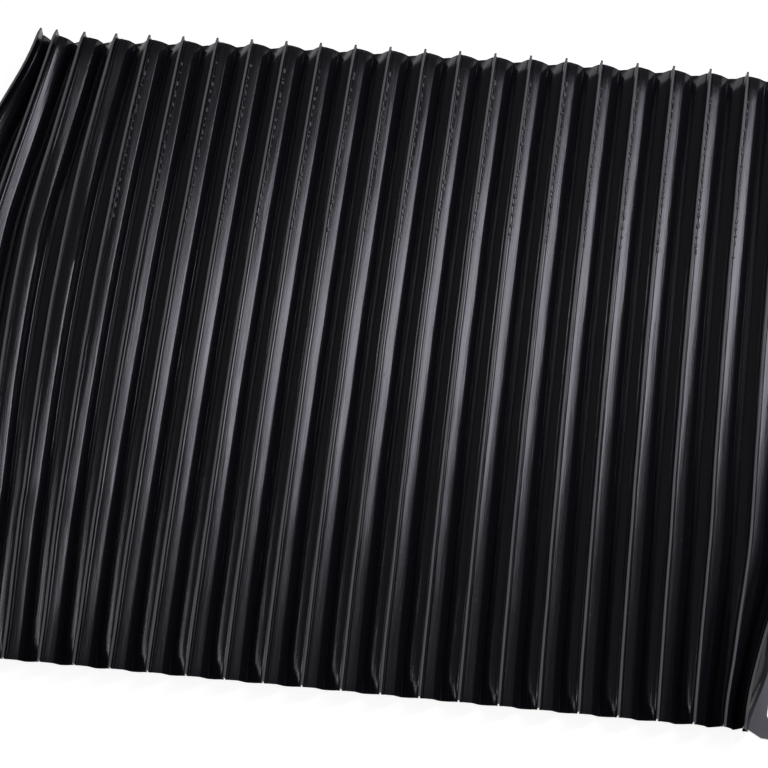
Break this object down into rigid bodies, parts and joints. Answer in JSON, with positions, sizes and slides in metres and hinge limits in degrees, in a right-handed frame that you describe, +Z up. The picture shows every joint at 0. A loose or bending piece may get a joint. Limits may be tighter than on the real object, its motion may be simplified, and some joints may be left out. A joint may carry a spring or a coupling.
{
  "type": "folded bellows cover",
  "caption": "Flexible folded cover for a machine slideway: a pleated coated-cloth sheet with stiffener strips in its folds and a slotted steel plate at each end.",
  "frame": {"origin": "middle of the slot line on the fixed end plate, on its underside, which is the surface that the cover lies on", "axes": "+X along the travel from the sliding end to the fixed end, Y along the end plates, +Z up"},
  "size_m": [0.6894, 0.5796, 0.0306],
  "materials": {
    "coated_cloth": "satin black coated cloth, fine streaks along the folds",
    "stiffener": "matte dark grey hard plastic strip",
    "plate_steel": "zinc plated sheet steel"
  },
  "bodies": {
    "fixed_end": {"fixed_end_plate": "plate_steel", "pleated_cover": "coated_cloth", "stiffener_01_right": "stiffener", "stiffener_02_right": "stiffener", "stiffener_03_right": "stiffener", "stiffener_04_right": "stiffener", "stiffener_05_right": "stiffener", "stiffener_06_right": "stiffener", "stiffener_07_right": "stiffener", "stiffener_08_right": "stiffener", "stiffener_09_right": "stiffener", "stiffener_10_right": "stiffener", "stiffener_11_right": "stiffener", "stiffener_12_right": "stiffener", "stiffener_13_right": "stiffener", "stiffener_14_right": "stiffener", "stiffener_15_right": "stiffener", "stiffener_16_right": "stiffener", "stiffener_17_right": "stiffener", "stiffener_18_right": "stiffener", "stiffener_19_right": "stiffener", "stiffener_20_right": "stiffener", "stiffener_21_right": "stiffener", "stiffener_22_right": "stiffener", "stiffener_23_right": "stiffener", "stiffener_02_left": "stiffener", "stiffener_03_left": "stiffener", "stiffener_04_left": "stiffener", "stiffener_05_left": "stiffener", "stiffener_06_left": "stiffener", "stiffener_07_left": "stiffener", "stiffener_08_left": "stiffener", "stiffener_09_left": "stiffener", "stiffener_10_left": "stiffener", "stiffener_11_left": "stiffener", "stiffener_12_left": "stiffener", "stiffener_13_left": "stiffener", "stiffener_14_left": "stiffener", "stiffener_15_left": "stiffener", "stiffener_16_left": "stiffener", "stiffener_17_left": "stiffener", "stiffener_18_left": "stiffener", "stiffener_19_left": "stiffener", "stiffener_20_left": "stiffener", "stiffener_21_left": "stiffener", "stiffener_22_left": "stiffener", "stiffener_23_left": "stiffener", "stiffener_24_left": "stiffener"},
    "sliding_end": {"sliding_end_plate": "plate_steel"}
  },
  "joints": [
    {"name": "cover_slide", "type": "slide", "parent": "fixed_end", "child": "sliding_end", "axis": [1, 0, 0], "range_m": [0, 0.478], "deforming": ["pleated_cover", "stiffener_01_right", "stiffener_02_right", "stiffener_03_right", "stiffener_04_right", "stiffener_05_right", "stiffener_06_right", "stiffener_07_right", "stiffener_08_right", "stiffener_09_right", "stiffener_10_right", "stiffener_11_right", "stiffener_12_right", "stiffener_13_right", "stiffener_14_right", "stiffener_15_right", "stiffener_16_right", "stiffener_17_right", "stiffener_18_right", "stiffener_19_right", "stiffener_20_right", "stiffener_21_right", "stiffener_22_right", "stiffener_23_right", "stiffener_02_left", "stiffener_03_left", "stiffener_04_left", "stiffener_05_left", "stiffener_06_left", "stiffener_07_left", "stiffener_08_left", "stiffener_09_left", "stiffener_10_left", "stiffener_11_left", "stiffener_12_left", "stiffener_13_left", "stiffener_14_left", "stiffener_15_left", "stiffener_16_left", "stiffener_17_left", "stiffener_18_left", "stiffener_19_left", "stiffener_20_left", "stiffener_21_left", "stiffener_22_left", "stiffener_23_left", "stiffener_24_left"]}
  ]
}
